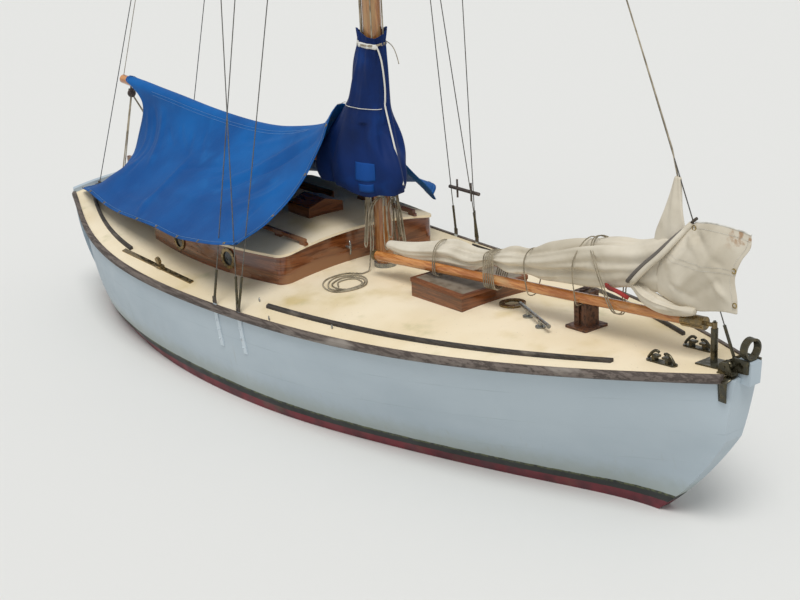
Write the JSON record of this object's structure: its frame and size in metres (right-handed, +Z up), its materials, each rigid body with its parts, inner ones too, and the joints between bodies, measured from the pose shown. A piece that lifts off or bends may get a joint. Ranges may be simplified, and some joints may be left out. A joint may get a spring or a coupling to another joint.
{
  "type": "sailing sloop",
  "caption": "Small carvel-built wooden sloop with long keel, cabin, tall mast and stays; boom under a cockpit tent, mast cover on, staysail stowed on its boom.",
  "frame": {"origin": "on the centreline amidships, at the height of the waterline", "axes": "+X to the bow, +Y to port, +Z up"},
  "size_m": [7.0295, 2.2822, 9.43],
  "materials": {
    "topside_paint": "weathered pale paint",
    "bottom_paint": "matte antifouling",
    "white_paint": "weathered paint",
    "deck_paint": "matte canvas paint",
    "old_wood": "weathered bare",
    "varnished": "varnished, worn",
    "spar_wood": "varnished",
    "teak": "bare",
    "hatch_grey": "matte paint",
    "iron": "rusty",
    "rusty_iron": "rusty",
    "bronze": "dull, stained",
    "galvanised": "dull grey",
    "plate_paint": "weathered paint",
    "glass": "clear",
    "rope": "laid rope",
    "tent_cloth": "matte canvas",
    "cover_cloth": "matte canvas",
    "sail_cloth": "matte canvas"
  },
  "bodies": {
    "hull": {"hull": "topside_paint", "deck": "deck_paint", "transom": "topside_paint", "stem": "white_paint", "deadwood": "bottom_paint", "ballast_keel": "iron", "gudgeons": "bronze", "chainplates": "plate_paint", "rubbing_strakes": "old_wood", "toe_rails": "white_paint", "coachroof_sides": "varnished", "coachroof_top": "deck_paint", "grab_rails": "teak", "portlight_rims": "bronze", "portlight_glass": "glass", "skylight": "varnished", "slide_runners": "varnished", "drop_boards": "varnished", "coamings": "varnished", "cockpit_boards": "teak", "forehatch_coaming": "varnished", "forehatch_lid": "hatch_grey", "mast": "spar_wood", "mast_bands": "galvanised", "spreaders": "spar_wood", "samson_post": "rusty_iron", "stem_fitting": "bronze", "gammon_ring": "bronze", "fairleads": "bronze", "bar_cleat": "galvanised", "chain_pipe": "bronze", "rigging_screws": "bronze", "stays": "galvanised", "sheet_tracks": "bronze", "track_cars": "bronze", "quarter_fittings": "bronze", "cockpit_tent": "tent_cloth", "sail_cover": "cover_cloth"},
    "rudder": {"rudder": "bottom_paint", "rudder_irons": "bronze", "tiller": "varnished"},
    "main_boom": {"boom": "spar_wood", "boom_fork": "bronze", "boom_block": "old_wood", "topping_lift": "rope"},
    "jib_boom": {"jib_boom": "spar_wood", "jib_boom_iron": "bronze", "staysail_stow": "sail_cloth"},
    "slide": {"companion_slide": "deck_paint"},
    "roller": {"bow_roller": "bronze"}
  },
  "joints": [
    {"name": "rudder_turn", "type": "hinge", "parent": "hull", "child": "rudder", "pos_m": [-3.25563, 0, 0], "axis": [-0.1392, 0, 0.9903], "range_deg": [-35, 35]},
    {"name": "boom_swing", "type": "hinge", "parent": "hull", "child": "main_boom", "pos_m": [0.044, 0, 1.5], "axis": [0, 0, 1], "range_deg": [-6.4, 6.4], "deforming": ["cockpit_tent", "sail_cover"]},
    {"name": "jib_boom_swing", "type": "hinge", "parent": "hull", "child": "jib_boom", "pos_m": [3.12, 0, 1.222], "axis": [0, 0, 1], "range_deg": [0, 30], "deforming": ["staysail_stow"]},
    {"name": "slide_open", "type": "slide", "parent": "hull", "child": "slide", "axis": [1, 0, 0], "range_m": [0, 0.42]},
    {"name": "roller_spin", "type": "hinge", "parent": "hull", "child": "roller", "pos_m": [3.28066, -0.08303, 1.05705], "axis": [-0.0023, 0.9997, 0.0232], "continuous": true}
  ]
}
